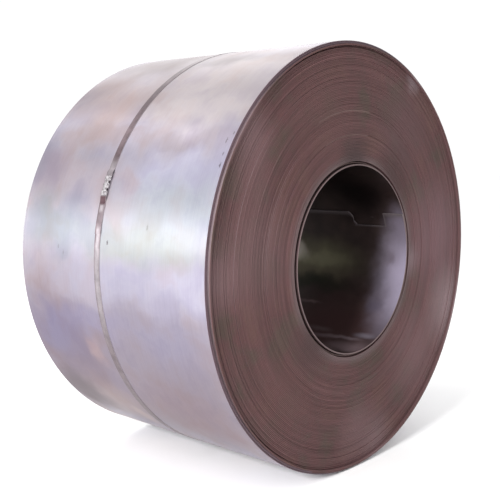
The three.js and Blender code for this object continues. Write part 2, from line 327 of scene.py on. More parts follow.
def straight_strip():
    """The strip before winding, cut finely where its wide side shows."""
    bm = bmesh.new()
    plain_strip(bm)
    steps = round((TURNS - NOTCH_LENGTH) * STEPS_PER_TURN)
    long_edges = [e for e in bm.edges if along_x(e)]
    bmesh.ops.subdivide_edges(bm, edges=long_edges, cuts=steps - 1)
    # so many cuts drift apart from edge to edge, so each row is set straight
    step = (TURNS - NOTCH_LENGTH) / steps
    for vert in bm.verts:
        vert.co.x = NOTCH_LENGTH + step * round((vert.co.x - NOTCH_LENGTH) / step)
    for low, high in ((-1, FINE_TURNS), (TURNS - FINE_TURNS, TURNS + 1)):
        shown = [
            e for e in bm.edges
            if along_x(e) and low < (e.verts[0].co.x + e.verts[1].co.x) / 2 < high
        ]
        bmesh.ops.subdivide_edges(bm, edges=shown, cuts=FINE_CUTS)
    across = [e for e in bm.edges if abs(e.verts[0].co.y - e.verts[1].co.y) > STRIP_WIDTH / 2]
    outer = [e for e in across if e.verts[0].co.z > STRIP_THICKNESS / 2]
    inner = [e for e in across if e.verts[0].co.z < STRIP_THICKNESS / 2]
    skin = [e for e in outer if e.verts[0].co.x > TURNS - FINE_TURNS]
    lining = [e for e in inner if e.verts[0].co.x < FINE_TURNS]
    bmesh.ops.subdivide_edges(bm, edges=skin, cuts=OUTER_COLUMNS - 1)
    bmesh.ops.subdivide_edges(bm, edges=lining, cuts=BORE_COLUMNS - 1)
    head_prongs(bm)
    bmesh.ops.recalc_face_normals(bm, faces=bm.faces)
    return bm


def buckle(angle, y, radius):
    """A shallow inward wave of the wide side, from 0 to -BUCKLE_DEPTH."""
    place = polar(angle, radius) + Vector((0, y, 0))
    depth = 0.5 + 0.5 * noise.noise(place / BUCKLE_LENGTH)
    off_rim = smooth((STRIP_WIDTH / 2 - abs(y)) / BUCKLE_RIM)
    held = BUCKLE_HELD * smooth(1.5 - abs(y - STRAP_Y) / BUCKLE_RIM)
    return -BUCKLE_DEPTH * depth * off_rim * (1 - held)


def cut_face(face):
    """Is this a face that a shear left, at an end of the strip or in its notch?"""
    inside = abs(face.calc_center_median().y) < STRIP_WIDTH / 2 - CUT_INSIDE
    return abs(face.normal.z) < 0.5 and (inside or abs(face.normal.x) > 0.5)


def wind(bm):
    """Each place of the straight strip goes to its turn, and keeps how far along the strip it is."""
    run = bm.verts.layers.float.new("run")
    sheared = bm.verts.layers.float.new("sheared")
    for face in bm.faces:
        if cut_face(face):
            for vert in face.verts:
                vert[sheared] = 1
    for vert in bm.verts:
        turn, y, z = vert.co
        angle = HEAD_ANGLE - 360 * turn
        base = inner_radius(turn)
        from_tail = TURNS - turn
        if z > STRIP_THICKNESS - NEAR and from_tail < 1:
            z += buckle(angle, y, base) * smooth((1 - from_tail) / BUCKLE_END)
        if z < NEAR and turn < 1:
            z -= buckle(angle, y, base) * smooth((1 - turn) / BUCKLE_END)
        vert[run] = length_at(turn)
        vert.co = polar(angle, base + z) + Vector((0, y + walk_at(turn), AXIS_HEIGHT))


def finish_mesh(bm, name, materials):
    """Makes a mesh an object of the scene."""
    mesh = bpy.data.meshes.new(name)
    bm.to_mesh(mesh)
    bm.free()
    for material in materials:
        mesh.materials.append(material)
    piece = bpy.data.objects.new(name, mesh)
    bpy.context.scene.collection.objects.link(piece)
    return piece


def wide_side(face):
    """Is this a face of one of the strip's two wide sides?"""
    return abs(face.normal.z) > WIDE_FACING


def wound_strip(scale, edge, lining):
    """The whole coil: one strip, with scale outside and in the bore and rust on its edges."""
    bm = straight_strip()
    for face in bm.faces:
        face.smooth = True
        face.material_index = EDGE_FACES
        if wide_side(face):
            face.material_index = LINING_FACES if face.normal.z < 0 else SCALE_FACES
    for e in bm.edges:
        a, b = e.link_faces
        capped = abs(a.normal.x) > FACING or abs(b.normal.x) > FACING
        e.smooth = wide_side(a) == wide_side(b) and not capped
    wind(bm)
    piece = finish_mesh(bm, "wound_strip", (scale, edge, lining))
    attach(piece, "root")
    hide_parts("coil")
    return piece


# ---------------------------------------------------------------- strap and seal

def seal_point(along, height):
    """A point of the seal's straight run: so far down along it, and so far from the axis."""
    return polar(SEAL_ANGLE, height) + polar(SEAL_ANGLE + 90, along)


def run_angle(along, height):
    """Degrees from the seal's middle to a point of its straight run."""
    return math.degrees(math.atan(along / height))


def strap_line():
    """The strap's inner line, from the end under the seal once round to the end over it.

    Also gives the number of the point from which the strap lies over itself.
    """
    half = SEAL_LENGTH / 2 + STRAP_LEAD
    under = outer_radius_at(SEAL_ANGLE) + FIT + SEAL_SHEET + FIT
    over = under + STRAP_THICKNESS + FIT
    start = -(SEAL_LENGTH / 2 + UNDER_END)
    over_start = start - STRAP_LEAD
    first = SEAL_ANGLE + run_angle(half, under) + LANDING_ANGLE
    last = SEAL_ANGLE + run_angle(over_start, under) - LANDING_ANGLE + 360
    tip = SEAL_ANGLE + run_angle(SEAL_LENGTH / 2 + OVER_TAIL, under)
    in_seal = [
        i * SEAL_LENGTH / SEAL_STEPS for i in range(-SEAL_STEPS // 2, SEAL_STEPS // 2 + 1)
    ]
    line = [seal_point(start, under)]
    line += [seal_point(along, under) for along in in_seal]
    line.append(seal_point(half, under))
    steps = int((last - first) / STRAP_STEP)
    angles = [first + (last - first) * i / steps for i in range(steps + 1)]
    tail = TAIL_ANGLE + 360
    around = [a for a in angles if not tail - BRIDGE_ANGLE < a < tail + STRAP_STEP / 2]
    around += [tail - BRIDGE_ANGLE, tail + TAIL_LEAD]  # a straight bridge up over the tail
    for angle in sorted(around):
        line.append(polar(angle, outer_radius_at(angle) + STRAP_GAP))
    over_from = len(line)
    line.append(seal_point(over_start, over))
    line += [seal_point(along, over) for along in in_seal]
    line.append(seal_point(half, over))
    steps = int((tip - first) / LAP_STEP)
    for i in range(steps + 1):
        angle = first + (tip - first) * i / steps
        lift = TIP_LIFT * smooth((i / steps - 0.5) / 0.5)
        line.append(polar(angle, outer_radius_at(angle) + FIT + STRAP_THICKNESS + FIT + lift))
    return line, over_from


def outward_normals(line):
    """At each point of a line, the way out of the coil, and the stretch that keeps thickness even."""
    ways = [(b - a).normalized() for a, b in zip(line, line[1:])]
    normals = [Vector((way.z, 0, -way.x)) for way in ways]
    mitres = []
    for i in range(len(line)):
        before, after = normals[max(i - 1, 0)], normals[min(i, len(normals) - 1)]
        mitre = (before + after).normalized()
        mitres.append(mitre / mitre.dot(after))
    return mitres


def crimp(along):
    """How far the crimping jaws have pushed the edges in, at a place along the seal."""
    return max(
        CRIMP_DEPTH * smooth(CRIMP_PEAK - CRIMP_SLOPE * abs(along - middle) / CRIMP_LENGTH)
        for middle in (-CRIMP_SPACING / 2, CRIMP_SPACING / 2)
    )


def strongest(angle, rows):
    """The strongest of some dark stretches of the strap, at one angle."""
    return max(strength * within(angle, *ramps) for *ramps, strength in rows)


def painted_shade_at(angle, over):
    """How dark the strap is painted: a painted shade where it mirrors dark surroundings, a painted
    highlight elsewhere.
    """
    if over:
        lap_darker = LAP_DARKENING * within(angle, *DARKER_LAP_STRETCH)
        return max(within(angle, *DARK_LAP_BLOCK), LAP_TONE + lap_darker)
    return strongest(angle, STRAP_PAINTED_SHADE)


def rim_at(angle):
    """How dark the strap's edges are painted: a painted shade."""
    return RIM_LEAST + strongest(angle, DARK_RIM)


def flat_band(steps):
    """The straight strap with rounded edges, one unit of X to each step of its line."""
    bm = bmesh.new()
    bmesh.ops.create_cube(bm, size=1)
    bmesh.ops.scale(bm, vec=(steps, STRAP_WIDTH, STRAP_THICKNESS), verts=bm.verts)
    bmesh.ops.translate(bm, vec=(steps / 2, 0, STRAP_THICKNESS / 2), verts=bm.verts)
    bmesh.ops.bevel(
        bm, geom=[e for e in bm.edges if along_x(e)], offset=STRAP_ROUND, offset_type="OFFSET",
        segments=2, profile=0.5, affect="EDGES", material=-1,
    )
    bmesh.ops.subdivide_edges(bm, edges=[e for e in bm.edges if along_x(e)], cuts=steps - 1)
    across = [e for e in bm.edges if abs(e.verts[0].co.y - e.verts[1].co.y) > STRAP_WIDTH / 2]
    bmesh.ops.subdivide_edges(bm, edges=across, cuts=STRAP_COLUMNS - 1)
    bmesh.ops.recalc_face_normals(bm, faces=bm.faces)
    for face in bm.faces:
        face.smooth = abs(face.normal.x) < FACING
    for e in bm.edges:
        a, b = e.link_faces
        e.smooth = a.normal.dot(b.normal) > SMOOTH_EDGE
    return bm


def tie_strap(material):
    """The strap: a flat band bent along its line, and crimped in the seal."""
    line, over_from = strap_line()
    mitres = outward_normals(line)
    bm = flat_band(len(line) - 1)
    slit = bm.verts.layers.float.new("slit")
    rim = bm.verts.layers.float.new("rim")
    painted_shade = bm.verts.layers.float.new("painted_shade")
    out = polar(SEAL_ANGLE, 1)
    down = polar(SEAL_ANGLE + 90, 1)
    for vert in bm.verts:
        i = round(vert.co.x)
        base = line[i]
        along = base.dot(down)
        in_seal = base.dot(out) > 0 and abs(along) < SEAL_LENGTH / 2 - SEAL_MOUTH
        y = vert.co.y
        aside = abs(y) / (STRAP_WIDTH / 2)
        angle = math.degrees(math.atan2(base.z, base.x)) % 360
        vert[slit] = abs(y) > STRAP_WIDTH / 2 - SLIT_SIDE
        # painted shade: darker edges, and darker stretches where the strap mirrors dark surroundings
        side = RIM_BACK if y > 0 else RIM_FRONT
        vert[rim] = side * rim_at(angle) * smooth((aside - RIM_START) / RIM_RUN)
        vert[painted_shade] = painted_shade_at(angle, i >= over_from)
        if in_seal:
            pushed = max(crimp(along - CRIMP_FIT), crimp(along), crimp(along + CRIMP_FIT))
            y -= math.copysign(pushed, y) * min(1, aside)
        point = base + mitres[i] * vert.co.z
        vert.co = point + Vector((0, STRAP_Y + y, AXIS_HEIGHT))
    bmesh.ops.reverse_faces(bm, faces=bm.faces)  # bending it this way round turned it inside out
    piece = finish_mesh(bm, "strap_band", (material,))
    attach(piece, "root")
    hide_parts("strap")
    return piece


def seal_profile():
    """The folded sheet's middle line across the strap: flange, side, crown, side, flange."""
    half = STRAP_WIDTH / 2 + FIT + SEAL_SHEET / 2
    low = FIT + SEAL_SHEET / 2
    high = low + SEAL_SHEET + 2 * STRAP_THICKNESS + 3 * FIT
    flange = STRAP_WIDTH / 2 - SEAL_FLANGE
    straight = half - SEAL_BEND

    def bend(height, angles):
        """Points of one of the sheet's round corners."""
        turns = [math.radians(angle) for angle in angles]
        return [
            (straight + SEAL_BEND * math.cos(turn), height + SEAL_BEND * math.sin(turn))
            for turn in turns
        ]

    side = [(flange, low), ((flange + half) / 2, low), (straight, low)]
    side += bend(low + SEAL_BEND, (-60, -30, 0))
    side += bend(high - SEAL_BEND, (0, 30, 60))
    side.append((straight, high))
    crown = [(half * share, high) for share in CROWN_POINTS]
    right = side + crown
    left = [(-y, h) for y, h in reversed(right[:-1])]
    return right + left


def strap_seal(material):
    """A sheet folded round both layers of the strap and crimped in two rows."""
    profile = seal_profile()
    bm = bmesh.new()
    bmesh.ops.create_grid(bm, x_segments=len(profile) - 1, y_segments=SEAL_ROWS, size=0.5)
    out = polar(SEAL_ANGLE, 1)
    down = polar(SEAL_ANGLE + 90, 1)
    foot = out * outer_radius_at(SEAL_ANGLE)
    side_shade = bm.verts.layers.float.new("side_shade")
    for vert in bm.verts:
        i = round((vert.co.x + 0.5) * (len(profile) - 1))
        along = vert.co.y * SEAL_LENGTH
        y, height = profile[i]
        pushed = crimp(along)
        # painted shade on the seal's sides, darkest in the crimps
        near_side = smooth((abs(y) - SIDE_SHADE_START) / SIDE_SHADE_RUN)
        vert[side_shade] = near_side * (0.5 + 0.5 * pushed / CRIMP_DEPTH)
        y -= math.copysign(pushed, y) * min(1, abs(y) / (STRAP_WIDTH / 2))
        crown = smooth((height - CROWN_START) / CROWN_RUN)
        swell = SEAL_SWELL * pushed * crown * smooth((abs(y) - SWELL_START) / SWELL_RUN)
        flare = SEAL_FLARE * crown * smooth((abs(along) - FLARE_START) / FLARE_RUN)
        place = foot + out * (height + swell + flare) + down * along
        vert.co = place + Vector((0, STRAP_Y + y, AXIS_HEIGHT))
    bmesh.ops.recalc_face_normals(bm, faces=bm.faces)
    crown_face = max(bm.faces, key=lambda f: f.calc_center_median().dot(out))
    if crown_face.normal.dot(out) < 0:
        bmesh.ops.reverse_faces(bm, faces=bm.faces)
    for face in bm.faces:
        face.smooth = True
    piece = finish_mesh(bm, "strap_seal_sleeve", (material,))
    wall = piece.modifiers.new("sheet", "SOLIDIFY")
    wall.thickness = SEAL_SHEET
    wall.offset = 0
    wall.use_even_offset = True
    wall.use_rim = True
    rim = piece.modifiers.new("rim", "BEVEL")
    rim.width = SEAL_ROUND
    rim.segments = 2
    rim.limit_method = "ANGLE"
    rim.angle_limit = math.radians(SEAL_SHARP)
    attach(piece, "root")
    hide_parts("strap_seal")
    return piece


# ---------------------------------------------------------------- finishes

def tint(code):
    """An sRGB hex colour as linear RGBA."""
    parts = [int(code[i:i + 2], 16) / 255 for i in (1, 3, 5)]
    return tuple(p / 12.92 if p <= 0.04045 else ((p + 0.055) / 1.055) ** 2.4 for p in parts) + (1,)


def add(tree, kind, links=None, out=0, stops=(), **settings):
    """Adds a node with its settings, colour stops, and inputs from values or sockets.

    Returns one of its outputs.
    """
    node = tree.nodes.new("ShaderNode" + kind)
    for name, value in settings.items():
        setattr(node, name, value)
    if stops:
        points = node.color_ramp.elements
        while len(points) < len(stops):
            points.new(0.5)
        for point, (place, colour) in zip(points, stops):
            point.position = place
            point.color = tint(colour)
    for name, value in (links or {}).items():
        if isinstance(value, bpy.types.NodeSocket):
            tree.links.new(value, node.inputs[name])
        else:
            node.inputs[name].default_value = value
    return node.outputs[out] if node.outputs else node


BLEND = {"data_type": "RGBA", "out": 2}  # a Mix node of two colours: inputs 0 share, 6 and 7 colours


def new_material(name):
    """An empty material and its node tree."""
    material = bpy.data.materials.new(name)
    material.use_nodes = True
    material.node_tree.nodes.clear()
    return material, material.node_tree


def from_axis(tree):
    """Object coordinates with the middle of the coil's axis at their origin."""
    place = add(tree, "TexCoord", out="Object")
    return add(tree, "VectorMath", {0: place, 1: (0, 0, AXIS_HEIGHT)}, operation="SUBTRACT")


def wandering(tree, place, size, reach):
    """A place moved about by a soft noise, so that what is drawn on it gets an uneven outline."""
    drift = add(tree, "TexNoise", {"Vector": place, "Scale": 1 / size, "Detail": 3.0}, out="Color")
    centred = add(tree, "VectorMath", {0: drift, 1: (0.5, 0.5, 0.5)}, operation="SUBTRACT")
    moved = {0: centred, 1: (reach * 2,) * 3, 2: place}
    return add(tree, "VectorMath", moved, operation="MULTIPLY_ADD")


def patch_share(tree, place, centre, around, across, soft=0.6):
    """1 in the middle of a soft patch, and 0 outside it: so wide in X and Z, and so wide in Y."""
    apart = add(tree, "VectorMath", {0: place, 1: centre}, operation="SUBTRACT")
    shape = (2 / around, 2 / across, 2 / around)
    scaled = add(tree, "VectorMath", {0: apart, 1: shape}, operation="MULTIPLY")
    away = add(tree, "VectorMath", {0: scaled}, operation="LENGTH", out="Value")
    ramp = {"Value": away, "From Min": 1.0, "From Max": 1 - soft}
    return add(tree, "MapRange", ramp, interpolation_type="SMOOTHSTEP")


def on_wall(radius, rows):
    """Patches outside or in the bore. A row: angle, distance from the front end, and the rest."""
    return [
        (polar(angle, radius) + Vector((0, FRONT + from_front, 0)), *rest)
        for angle, from_front, *rest in rows
    ]


RING_DEPTH = 0.3  # of a patch on the rings, so that it takes in their unevenness


def on_end(rows):
    """Patches on the rings of the front end. A row: angle, radius, width, colour, strength."""
    return [
        (polar(angle, radius) + Vector((0, FRONT, 0)), width, RING_DEPTH, colour, strength)
        for angle, radius, width, colour, strength in rows
    ]


def patched(tree, colour, place, patches, soft):
    """A colour with patches laid over it: centre, width around, width across, colour, strength."""
    for centre, around, across, tone, strength in patches:
        share = patch_share(tree, place, centre, around, across, soft)
        part = add(tree, "Math", {0: share, 1: strength}, operation="MULTIPLY")
        colour = add(tree, "Mix", {0: part, 6: colour, 7: tint(tone)}, **BLEND)
    return colour


# Clouds in the mill scale, partly its own tones and partly painted light and shade: lighter where
# the soft boxes shine, darker low down and behind the strap. A row: angle, distance from the front
# end, length round the coil, width across the strip, colour, strength
SCALE_TONES_AND_PAINTED_LIGHT = (
    (118, 0.45, 1.00, 2.20, "#998e90", 0.6),  # lighter and warmer on top: painted light
    (206, 0.3, 1.10, 1.30, "#807782", 0.95),  # low side, darker and violet-brown: painted shade
    (208, 0.88, 1.10, 0.90, "#736572", 0.95),
    (196, 0.22, 0.34, 0.60, "#827d8e", 0.7),  # violet bloom
    (194, 0.64, 0.24, 0.60, "#7f7a92", 0.6),
    (199, 0.90, 0.36, 0.44, "#726c85", 0.8),
    (221, 0.3, 0.54, 1.00, "#84747a", 0.85),  # browner and darker near the ground: painted shade
    (224, 0.76, 0.40, 0.56, "#8b7b7c", 0.9),
    # darkest at the low back edge: painted shade
    (223, 0.95, 0.42, 0.42, "#503f48", 0.9),
    (229, 0.645, 0.18, 0.13, "#aa9a98", 0.6),
    (131, 0.2, 0.56, 0.90, "#b0a7a9", 0.9),  # pale pinkish scale
    (119, 0.20, 0.24, 0.90, "#b6adae", 0.7),
    (130, 0.16, 0.13, 0.60, "#a0979a", 0.5),
    (137, 0.22, 0.14, 1.10, "#b5acae", 0.7),
    (110, 0.78, 0.52, 0.90, "#625356", 0.9),  # darker band behind the strap: painted shade
    (127, 0.93, 0.34, 0.50, "#877779", 0.8),
    (134, 0.76, 0.36, 0.60, "#a09091", 0.9),
    (144, 0.80, 0.22, 0.60, "#8a7d80", 0.7),
    (145, 0.60, 0.16, 0.22, "#827579", 0.8),
    (114, 0.38, 0.18, 0.50, "#857d7e", 0.7),
    (146, 0.26, 0.16, 0.90, "#8a8086", 0.7),
    (157, 0.24, 0.30, 0.84, "#a7a5b6", 0.95),  # lavender bloom beside the seal
    (156, 0.72, 0.20, 0.46, "#a299a2", 0.8),
    (155, 0.94, 0.28, 0.34, "#90848f", 0.8),  # dark mauve at the back rim
    (164, 0.16, 0.34, 1.00, "#9b9fa6", 0.85),  # pale scale where the lamp's highlight falls, toned to shape it: painted highlight
    (173, 0.34, 0.26, 1.20, "#8c908f", 0.85),
    (170, 0.84, 0.34, 0.76, "#7a7e85", 0.9),
    (183, 0.36, 0.26, 1.60, "#9b98a8", 0.75),  # lighter lavender below it: painted light
    (181, 0.08, 0.20, 0.44, "#a6a2b1", 0.7),
    (171, 0.56, 0.18, 0.44, "#85878b", 0.6),
    (157.5, 0.458, 0.16, 0.16, "#a0949b", 0.8),  # pink spot beside the seal
    (203, 0.67, 0.14, 0.15, "#947f80", 0.7),  # rust bloom beside the strap
)

SKIN_RADIUS = OUTER_RADIUS - 4 * MM  # of the side that shows, where the spiral is a little smaller

# Nicks and scrapes in the scale: angle, distance from the front end, length round the coil,
# width, strength
SCALE_NICKS = (
    (147.0, 0.030, 0.034, 0.008, 0.6),
    (150.5, 0.020, 0.022, 0.008, 0.7),
    (153.3, 0.016, 0.030, 0.010, 0.7),
    (145.0, 0.012, 0.020, 0.006, 0.6),
    (173.3, 0.512, 0.022, 0.010, 0.8),
    (168.8, 0.300, 0.030, 0.010, 0.35),
    (175.5, 0.814, 0.026, 0.010, 0.35),
    (177.0, 0.780, 0.030, 0.008, 0.3),
)

NICK = "#3a2e33"

# Sizes of the patterns in the scale. An outline: size of its waves, and how far they reach
SCALE_BLOTCH = 280 * MM
SCALE_OUTLINE = (160 * MM, 90 * MM)
STAIN_SIZE = 140 * MM
STREAK_WIDTH = 5 * MM  # real ones are finer, but wouldn't show
STREAK_LENGTH = 200 * MM
NICK_OUTLINE = (6 * MM, 6 * MM)

# The outer side of turns that lie under others: to which length of the strip, and its colour
COVERED = (length_at(TURNS - 1.05), "#7d6d70")
# the outer side of the first turns, in the groove by the bore: darker, a painted shade
GROOVE_WALL_SHADE = (length_at(2.2), "#735f60")
# painted light on it at the left, where a group of turns stands proud and catches the light:
# angle, radius, width, colour, strength
PAINTED_LIGHT_ON_WALLS = ((155, 0.85, 1.10, "#b3a1a5", 0.95),)


def mill_scale():
    """Mill scale: the oxide that hot rolling leaves on steel strip, semi-gloss and blue-grey.

    The eye sees cloudy patches of lavender and pinkish brown, partly painted light and shade,
    soft streaks along the rolling direction, dark nicks and a broad sheen.
    """
    material, tree = new_material("mill_scale_on_hot_rolled_steel")
    place = from_axis(tree)
    clouds = add(tree, "TexNoise", {
        "Vector": place, "Scale": 1 / SCALE_BLOTCH, "Detail": 3.0, "Roughness": 0.5,
    })
    colour = add(tree, "ValToRGB", {"Fac": clouds}, stops=[
        (0.32, "#8c8794"), (0.45, "#948f9b"), (0.56, "#999199"), (0.70, "#968b8f"),
    ])
    uneven = wandering(tree, place, *SCALE_OUTLINE)
    colour = patched(tree, colour, uneven, on_wall(OUTER_RADIUS, SCALE_TONES_AND_PAINTED_LIGHT), soft=0.8)
    stains = add(tree, "TexNoise", {
        "Vector": uneven, "Scale": 1 / STAIN_SIZE, "Detail": 4.0, "Roughness": 0.6,
    })
    stain = add(tree, "ValToRGB", {"Fac": stains}, stops=[
        (0.38, "#f7f6fa"), (0.50, "#ffffff"), (0.64, "#fdf8f5"),
    ])
    colour = add(tree, "Mix", {0: 1.0, 6: colour, 7: stain}, blend_type="MULTIPLY", **BLEND)
    run = add(tree, "Attribute", out="Fac", attribute_name="run")
    covered = add(tree, "Math", {0: run, 1: COVERED[0]}, operation="LESS_THAN")
    # painted light on the walls of the proud turns at the left
    walls = patched(tree, tint(COVERED[1]), place, on_end(PAINTED_LIGHT_ON_WALLS), soft=0.6)
    colour = add(tree, "Mix", {0: covered, 6: colour, 7: walls}, **BLEND)
    # painted shade on the outer side of the turns in the groove by the bore
    deep = add(tree, "Math", {0: run, 1: GROOVE_WALL_SHADE[0]}, operation="LESS_THAN")
    colour = add(tree, "Mix", {0: deep, 6: colour, 7: tint(GROOVE_WALL_SHADE[1])}, **BLEND)
    # streaks along the strip
    pull = (1 / STREAK_LENGTH, 1 / STREAK_WIDTH, 1 / STREAK_LENGTH)
    rolled = add(tree, "VectorMath", {0: place, 1: pull}, operation="MULTIPLY")
    lines = add(tree, "TexNoise", {"Vector": rolled, "Scale": 1.0, "Detail": 3.0, "Roughness": 0.6})
    streak = add(tree, "ValToRGB", {"Fac": lines}, stops=[(0.30, "#f9f8f9"), (0.60, "#ffffff")])
    colour = add(tree, "Mix", {0: 1.0, 6: colour, 7: streak}, blend_type="MULTIPLY", **BLEND)
    ragged = wandering(tree, place, *NICK_OUTLINE)
    for angle, from_front, around, across, strength in SCALE_NICKS:
        centre = polar(angle, SKIN_RADIUS) + Vector((0, FRONT + from_front, 0))
        share = patch_share(tree, ragged, centre, around, across)
        part = add(tree, "Math", {0: share, 1: strength}, operation="MULTIPLY")
        colour = add(tree, "Mix", {0: part, 6: colour, 7: tint(NICK)}, **BLEND)
    rough = add(tree, "MapRange", {
        "Value": clouds, "From Min": 0.3, "From Max": 0.7, "To Min": 0.36, "To Max": 0.46,
    })
    bump = add(tree, "Bump", {"Height": lines, "Strength": 0.02, "Distance": 0.002})
    surface = add(tree, "BsdfPrincipled", {
        "Base Color": colour, "Metallic": 0.85, "Roughness": rough, "Normal": bump,
    })
    add(tree, "OutputMaterial", {"Surface": surface})
    return material


# Patches on the bore's wall, partly its own tones and partly painted light and shade: the same
# columns as for the clouds
BORE_TONES_AND_PAINTED_LIGHT = (
    (80, 0.35, 0.90, 1.50, "#0b0607", 0.95),  # near black at the top: painted shade
    (42, 0.20, 0.36, 0.44, "#080506", 0.9),
    (-62, 0.30, 0.60, 0.90, "#432e2f", 0.7),  # rusty at the bottom
    (-10, 0.52, 0.28, 0.80, "#5f5a45", 0.7),  # olive-grey sheen deep in the bore: painted reflection
    (-9.5, 0.49, 0.10, 0.56, "#747159", 0.45),
    (-6, 0.61, 0.12, 0.20, "#b0a79f", 0.7),
    (-27, 0.50, 0.12, 0.70, "#171a10", 0.8),  # greenish oil under it
    (-84, 0.06, 0.18, 0.40, "#6a5a5e", 0.7),  # rubbed brown at the bottom of the mouth
    (-19, -0.03, 0.76, 0.45, "#847c8d", 1.0),  # lavender gleam at the mouth, where the front lamp shines in: painted highlight
    (18, 0.02, 0.30, 0.14, "#5f5763", 0.6),  # the gleam dimmer above: painted highlight
    (-40, 0.10, 0.12, 0.12, "#4a4350", 0.6),
    (-6, 0.08, 0.10, 0.05, "#4e444c", 0.5),  # oil left in it
)

# Scuffs in the bore: the same columns
BORE_SCUFFS = (
    (-65.8, 0.30, 0.050, 0.20, "#54484a", 0.7),
    (-73.5, 0.25, 0.046, 0.20, "#64565a", 0.7),
    (-71.5, 0.18, 0.044, 0.20, "#6b5d61", 0.7),
    (-71.5, 0.11, 0.042, 0.18, "#6d6065", 0.65),
    (-66, 0.06, 0.060, 0.16, "#6c6670", 0.6),
    (-42.5, 0.45, 0.026, 0.20, "#5c4b4d", 0.7),
    (23.2, 0.19, 0.012, 0.24, "#5d5557", 0.7),  # a faint pale line that carries the head's edge on across the notch
)

# Sizes of the patterns in the bore
BORE_BLOTCH = 180 * MM
BORE_OUTLINE = (100 * MM, 40 * MM)
SCUFF_OUTLINE = (50 * MM, 12 * MM)

# The inner side of turns that lie on others, darker than their outer side as a painted shade where
# it shows in the steps of the end: from which length of the strip, and its colour
LINING_SHADE = (length_at(1.1), "#5a4445")
SHEARED_HEAD = "#4c4547"


def bore_scale():
    """The same scale on the inner side of the strip: oily, darkened with painted shade, with a
    painted gleam at the mouth and a painted olive sheen deep in.

    The eye sees near black above, a lavender gleam on the right and a few pale scuffs.
    """
    material, tree = new_material("oily_mill_scale_in_painted_shade")
    place = from_axis(tree)
    clouds = add(tree, "TexNoise", {
        "Vector": place, "Scale": 1 / BORE_BLOTCH, "Detail": 3.0, "Roughness": 0.55,
    })
    colour = add(tree, "ValToRGB", {"Fac": clouds}, stops=[
        (0.35, "#241b1a"), (0.50, "#2c2322"), (0.65, "#342a28"),
    ])
    uneven = wandering(tree, place, *BORE_OUTLINE)
    colour = patched(tree, colour, uneven, on_wall(BORE_RADIUS, BORE_TONES_AND_PAINTED_LIGHT), soft=0.9)
    ragged = wandering(tree, place, *SCUFF_OUTLINE)
    colour = patched(tree, colour, ragged, on_wall(BORE_RADIUS, BORE_SCUFFS), soft=0.9)
    sheared = add(tree, "Attribute", out="Fac", attribute_name="sheared")
    colour = add(tree, "Mix", {0: sheared, 6: colour, 7: tint(SHEARED_HEAD)}, **BLEND)
    run = add(tree, "Attribute", out="Fac", attribute_name="run")
    covered = add(tree, "Math", {0: run, 1: LINING_SHADE[0]}, operation="GREATER_THAN")
    colour = add(tree, "Mix", {0: covered, 6: colour, 7: tint(LINING_SHADE[1])}, **BLEND)
    surface = add(tree, "BsdfPrincipled", {
        "Base Color": colour, "Metallic": 0.0, "Roughness": 0.40, "Specular IOR Level": 0.07,
    })
    add(tree, "OutputMaterial", {"Surface": surface})
    return material


# Patches on the rings of the end: angle, radius, width, colour, strength
EDGE_CLOUDS = (
    (5, 0.64, 0.74, "#674d51", 0.95),  # dusty right side
    (-42, 0.66, 0.66, "#674d4f", 0.8),
    (172, 0.62, 0.60, "#5f4748", 0.8),
    (150, 0.74, 0.34, "#624a4b", 0.6),
    (-88, 0.72, 0.40, "#674e50", 0.7),
    (58, 0.62, 0.54, "#553c3e", 0.8),  # redder and darker at the top right
    (112, 0.62, 0.50, "#573c3b", 0.7),
    (228, 0.62, 0.50, "#563a39", 0.7),
    (-20, 0.82, 0.54, "#857275", 0.75),  # greyer towards the rim
    (142, 0.82, 0.34, "#6c5557", 0.7),
    (180, 0.81, 0.34, "#6a5355", 0.7),
    (-78, 0.81, 0.34, "#6f595b", 0.7),
    (61, 0.845, 0.16, "#796a6e", 0.7),  # lighter grey at the rim: painted highlight
)

# The same, over the dust round the bore
NEAR_BORE_CLOUDS = (
    (50, 0.41, 0.42, "#3f2c2c", 0.8),
    (92, 0.41, 0.28, "#3b2c2c", 0.8),
    (226, 0.41, 0.34, "#402e2e", 0.8),
    (-5, 0.42, 0.20, "#716063", 0.7),
)

# Turns whose edges differ: first turn, last turn, colour, strength
MARKED_TURNS = (
    (-1, 1.08, "#6a5b5b", 0.55),  # rubbed first turn
    (1.08, 2.15, "#54423f", 0.8),  # in the groove by the bore, darker: painted shade
    (19.754, 19.845, "#6c5753", 0.6),  # rubbed lengths
    (35.754, 35.845, "#6c5753", 0.6),
    (TURNS - 1.75, TURNS + 1, "#574850", 0.8),  # skin
)

# Sizes of the patterns on the ends. Rings: how far a mark runs round (radians), how wide, detail
RUST_BLOTCH = 150 * MM
RUST_RINGS = ((0.8, 16 * MM, 3.0), (0.5, 6 * MM, 2.0))
RUST_RUN = 900 * MM
RUST_OUTLINE = (50 * MM, 20 * MM)

# Dust round the bore: full up to the first radius, gone at the second
DUST_FULL = BORE_RADIUS + 28 * MM
DUST_GONE = BORE_RADIUS + 55 * MM
DUST = "#665a5b"
DUST_SHARE = 0.5
SHEARED_EDGE = "#625a5c"


